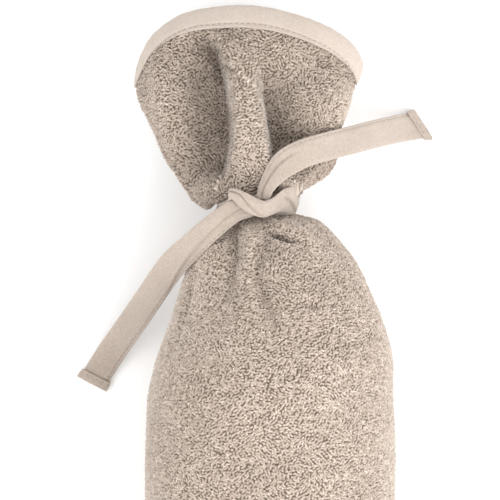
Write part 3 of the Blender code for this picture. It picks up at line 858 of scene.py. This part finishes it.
def neck_bands(cotton):
    """The two turns of tape round the neck, crumpled lengthwise and crossing a little."""
    shape = Shape()
    count, slant = 160, 0.04
    a = (2 * pi * np.arange(count) / count)[:, None]
    v = np.linspace(-1, 1, 15)
    edge = 0.65 * MM * np.maximum((1 - np.abs(v) ** 5) ** 0.5, 0.15)
    # each turn's place along the neck, radius, width and the phase of its creases
    for shift, radius, width, phase in ((-1.2, 16.0, 7.6, 0.4), (0.4, 16.8, 7.2, 2.2)):
        ridge = 0.4 * np.sin(v * 3.2 + 2 * np.sin(a + phase)) + 0.15 * np.sin(v * 7 + 3 * a + phase)
        r = radius * MM + ridge * MM * 0.9 + 0.25 * MM * np.sin(5 * a + phase)
        y = NECK_Y + shift * MM + v * width * MM / 2 * (1 + 0.12 * np.cos(a))
        y = y + slant * radius * MM * np.cos(a)
        top, low = (np.stack([NECK_X + side * np.cos(a), y, NECK_Z + side * np.sin(a)], axis=2)
                    for side in (r + edge, r - edge))
        shape.add(np.concatenate([top, low[:, ::-1]], axis=1), wrap_rows=True, wrap_columns=True)
    return shape.make("neck_bands", cotton)


# Strands of the half knot: x, y, z and the band's width. The first runs from the right side of the
# neck over its front, the second from the left side under the first.
KNOT_STRAND = np.array([
    (13.0, 86.4, 45.0, 11.4), (12.2, 86.4, 51.5, 11.6), (9.8, 86.6, 57.5, 11.6), (7.2, 86.0, 61.6, 10.4),
    (4.4, 84.6, 65.6, 8.2), (1.8, 83.2, 69.2, 7.2), (-1.0, 82.5, 71.6, 7.2), (-5.0, 83.7, 72.9, 7.2),
    (-8.8, 86.0, 73.1, 7.0), (-11.6, 88.0, 72.3, 5.8), (-13.6, 88.8, 70.7, 4.8), (-13.8, 87.6, 68.9, 5.2),
    (-12.2, 85.0, 68.0, 7.0),
]) * MM
KNOT_LEFT_TURN = np.array([
    (-19.8, 82.6, 54.0, 4.6), (-17.0, 83.6, 61.0, 5.0), (-13.0, 84.6, 65.6, 5.6), (-8.0, 84.8, 68.0, 6.0),
    (-3.6, 85.4, 68.4, 6.0), (-1.2, 87.8, 67.7, 6.0),
]) * MM


def knot(cotton):
    """The half knot: a creased strand that comes up the right side, over the front and round under
    itself, and the strand of the left side that it crosses."""
    def strand_relief(s, v):
        crease = np.clip((s - 38.5 * MM) / (9 * MM), -0.9, 0.5)
        over = smoothstep(29 * MM, 34 * MM, s)
        step = 0.7 * MM * smoothstep(-0.1, 0.1, v - crease) * over
        groove = 1.0 * MM * np.exp(-((v - crease + 0.06) / 0.11) ** 2) * over
        fold = -1.1 + s / (12 * MM)
        side = 1 - smoothstep(15 * MM, 20 * MM, s)
        step = step + 0.9 * MM * (smoothstep(-0.08, 0.08, v - fold) - 0.5) * side
        groove = groove + 0.7 * MM * np.exp(-((v - fold + 0.08) / 0.09) ** 2) * side
        full = 0.15 + 0.85 * smoothstep(16 * MM, 30 * MM, s)
        return step - groove + full * MM * (1 - v * v) + 0.12 * MM * np.sin(v * 7 + s * 300)

    def turn_relief(s, v):
        return 0.8 * MM * (1 - v * v) + 0.3 * MM * np.sin(v * 6 + s * 160)

    shape = Shape()
    for table, relief in ((KNOT_STRAND, strand_relief), (KNOT_LEFT_TURN, turn_relief)):
        fine = smooth_route(table[:, :3], 0.4 * MM)
        rough = distances(table[:, :3])
        width = np.interp(np.linspace(0, rough[-1], len(fine)), rough, table[:, 3])
        toward_mouth = np.repeat(np.array([(0.2, 1.0, 0.1)]), len(fine), axis=0)
        strap(shape, fine, toward_mouth, width, 1.5 * MM, relief, columns=31)
    return shape.make("half_knot", cotton)


# Studio ------------------------------------------------------------------------------------------
def studio():
    camera_data = bpy.data.cameras.new("camera")
    camera_data.lens = 400.0
    camera_data.clip_end = 20.0
    camera = bpy.data.objects.new("camera", camera_data)
    view_width = 212 * MM             # what the camera takes in, at the height of the widest part
    view_height = 50 * MM
    distance = view_width * camera_data.lens / camera_data.sensor_width
    camera.location = (-6.5 * MM, 65.3 * MM, view_height + distance)
    bpy.context.scene.collection.objects.link(camera)
    bpy.context.scene.camera = camera

    floor_mesh = bpy.data.meshes.new("floor")
    side = 6.0
    corners = [(-side, -side, 0), (side, -side, 0), (side, side, 0), (-side, side, 0)]
    floor_mesh.from_pydata(corners, [], [(0, 1, 2, 3)])
    floor = bpy.data.objects.new("floor", floor_mesh)
    pale = Nodes("pale_floor", roughness=0.9)
    pale.finish(pale.ramp(pale.noise(4, 2), (0.3, (0.93, 0.93, 0.93)), (0.7, (0.95, 0.95, 0.95))))
    floor_mesh.materials.append(pale.material)
    bpy.context.scene.collection.objects.link(floor)

    world = bpy.data.worlds.new("studio")
    world.use_nodes = True
    world.node_tree.nodes["Background"].inputs["Color"].default_value = (1.0, 1.0, 1.0, 1.0)
    world.node_tree.nodes["Background"].inputs["Strength"].default_value = 1.24
    bpy.context.scene.world = world
    lamps = (("key", (0.8, -0.8, 1.1), 1.8, 34.0), ("fill", (-1.1, -0.5, 1.2), 1.6, 11.0))
    for name, place, size, power in lamps:
        light = bpy.data.lights.new(name, "AREA")
        light.size = size
        light.energy = power
        lamp = bpy.data.objects.new(name, light)
        lamp.location = place
        aim = Vector((0.0, 0.03, 0.04)) - Vector(place)
        lamp.rotation_euler = aim.to_track_quat("-Z", "Y").to_euler()
        bpy.context.scene.collection.objects.link(lamp)
    bpy.context.scene.view_settings.view_transform = "Standard"


# Assembly ----------------------------------------------------------------------------------------
def main():
    studio()
    tape = cotton_material("tape_cotton", (0.52, 0.436, 0.372), (0.425, 0.352, 0.296))
    band = cotton_material("binding_cotton", (0.566, 0.484, 0.42), (0.495, 0.42, 0.36))
    thread = thread_material()

    left, left_path, left_length = tape_tail(
        "tie_left_tail_tape", LEFT_ROUTE, tape, thread, crease=(0.05, -1.0, 75 * MM, 78 * MM, 1.0 * MM),
        seam_v=-0.82, root_width=9.4 * MM, spread=50 * MM, slant=0.5 * MM)
    right, right_path, right_length = tape_tail(
        "tie_right_tail_tape", RIGHT_ROUTE, tape, thread, crease=(-0.2, 0.0, 30 * MM, 30 * MM, 0.7 * MM),
        seam_v=-0.8, root_width=6.0 * MM, spread=22 * MM, slant=3.4 * MM)
    for tail, path, length, node in ((left, left_path, left_length, "tie_left_tail"),
                                     (right, right_path, right_length, "tie_right_tail")):
        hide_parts(node)
    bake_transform(left)
    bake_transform(right)

    piles = terry_pieces(pile_material())
    ground = ground_material()
    front_cloth = ground_cloth("pouch_front_cloth", 0, pi, ground)
    back_cloth = ground_cloth("pouch_back_cloth", pi, 2 * pi, ground)
    binding = rim_binding(band, thread)
    bands = neck_bands(tape)
    tied = knot(tape)

    for piece, slot in [*((pile, "towelling") for pile in piles.values()), (front_cloth, "towelling"),
                        (back_cloth, "towelling"), (binding, "cotton"), (bands, "cotton"), (tied, "cotton")]:
        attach(piece, "pouch")
    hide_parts("pouch_front_panel")
    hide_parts("pouch_back_panel")
    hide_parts("mouth_binding")
    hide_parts("tie_neck_loop")
    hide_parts("tie_knot")

    steel = steel_material()
    plastic = moulded_material("cap_plastic", (0.045, 0.045, 0.05), (0.07, 0.07, 0.075), 1200)
    rubber = moulded_material("gasket_rubber", (0.42, 0.09, 0.06), (0.5, 0.13, 0.09), 800)
    finishes = {
        "bottle_body": steel, "bottle_base": steel, "bottle_neck_collar": steel, "cap_shell": steel,
        "cap_threaded_insert": plastic, "cap_gasket": rubber,
    }
    for node, finish in finishes.items():
        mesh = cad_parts[node].data
        mesh.materials.clear()
        mesh.materials.append(finish)


main()
